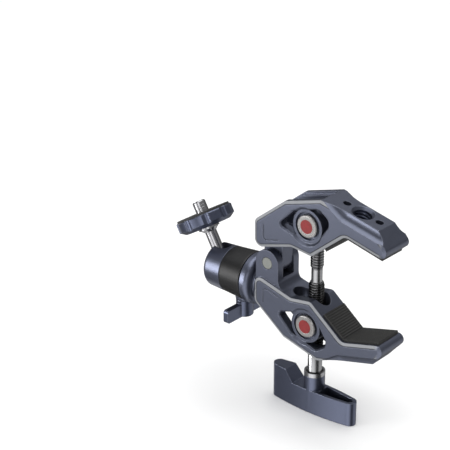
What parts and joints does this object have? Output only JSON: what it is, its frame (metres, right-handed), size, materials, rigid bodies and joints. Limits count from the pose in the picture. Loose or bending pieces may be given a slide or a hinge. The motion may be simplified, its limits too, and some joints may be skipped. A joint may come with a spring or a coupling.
{
  "type": "super clamp with ball head",
  "caption": "Screw clamp with two V jaws for rods, a tee handle on a double ended screw, and a small ball head with a thumbwheel and camera stud.",
  "frame": {"origin": "middle of a rod gripped between the two V jaws, on the clamp's middle plane", "axes": "+X from the ball head to the jaw tips, +Y along the gripped rod and the hinge pin, +Z along the lead screw from the handle to the upper jaw"},
  "size_m": [0.1199, 0.0276, 0.1074],
  "materials": {
    "jaw_metal": "satin blue-grey anodised",
    "handle_metal": "satin blue-grey anodised",
    "head_metal": "satin blue-grey anodised",
    "wheel_metal": "satin blue-grey anodised",
    "pad_rubber": "matt moulded rubber",
    "black_grip": "fine knurl, matt black",
    "pin_steel": "ground",
    "nut_steel": "turned",
    "screw_steel": "rolled thread, bright",
    "collar_steel": "turned",
    "stem_steel": "turned, bright",
    "red_cap": "satin red",
    "nylon": "natural nylon"
  },
  "bodies": {
    "lower_jaw": {"lower_jaw": "jaw_metal", "lower_pad": "pad_rubber", "hinge_pin": "pin_steel", "head_base": "head_metal", "head_bolt": "screw_steel"},
    "lower_nut": {"lower_nut": "nut_steel", "lower_nut_caps": "red_cap"},
    "collar": {"hub_collar": "collar_steel"},
    "screw": {"lead_screw": "screw_steel", "tee_handle": "handle_metal", "handle_screw": "screw_steel"},
    "upper_jaw": {"upper_jaw": "jaw_metal", "upper_pad": "pad_rubber"},
    "upper_nut": {"upper_nut": "nut_steel", "upper_nut_caps": "red_cap"},
    "head": {"ball_housing": "head_metal", "grip_sleeve": "black_grip", "ball_seat": "nylon"},
    "wing": {"wing_stud": "screw_steel", "wing_knob": "head_metal"},
    "ball": {"ball_stem": "stem_steel"},
    "wheel": {"thumbwheel": "wheel_metal", "wheel_rubber": "pad_rubber"}
  },
  "joints": [
    {"name": "lower_nut_turn", "type": "hinge", "parent": "lower_jaw", "child": "lower_nut", "pos_m": [-0.0207, 0, -0.024], "axis": [0, 1, 0], "range_deg": [-10, 16.5]},
    {"name": "screw_slide", "type": "slide", "parent": "lower_nut", "child": "collar", "axis": [0, 0, 1], "range_m": [-0.00687, 0.00416]},
    {"name": "handle_turn", "type": "hinge", "parent": "collar", "child": "screw", "pos_m": [-0.0207, 0, -0.06], "axis": [0, 0, 1], "range_deg": [-1200, 1980]},
    {"name": "jaw_open", "type": "hinge", "parent": "lower_jaw", "child": "upper_jaw", "pos_m": [-0.043, 0, 0], "axis": [0, 1, 0], "range_deg": [-20, 33]},
    {"name": "upper_nut_turn", "type": "hinge", "parent": "upper_jaw", "child": "upper_nut", "pos_m": [-0.0207, 0, 0.024], "axis": [0, 1, 0], "range_deg": [-16.5, 10]},
    {"name": "head_pan", "type": "hinge", "parent": "lower_jaw", "child": "head", "pos_m": [-0.063, 0, -0.0131], "axis": [1, 0, 0], "continuous": true},
    {"name": "ball_tilt", "type": "hinge", "parent": "head", "child": "ball", "pos_m": [-0.0744, 0, -0.0131], "axis": [0, 1, 0], "range_deg": [-78, 30]},
    {"name": "thumbwheel_spin", "type": "hinge", "parent": "ball", "child": "wheel", "pos_m": [-0.08615, 0, 0.00725], "axis": [-0.5, 0, 0.866], "continuous": true},
    {"name": "wing_screw_turn", "type": "hinge", "parent": "head", "child": "wing", "pos_m": [-0.0623, 0, -0.03], "axis": [0, 0, 1], "continuous": true}
  ],
  "couplings": [
    {"joint": "handle_turn", "follows": "screw_slide", "rad_per_m": -5026.5},
    {"joint": "lower_nut_turn", "follows": "screw_slide", "rad_per_m": -41.888},
    {"joint": "jaw_open", "follows": "screw_slide", "rad_per_m": -83.776},
    {"joint": "upper_nut_turn", "follows": "screw_slide", "rad_per_m": 41.888}
  ]
}
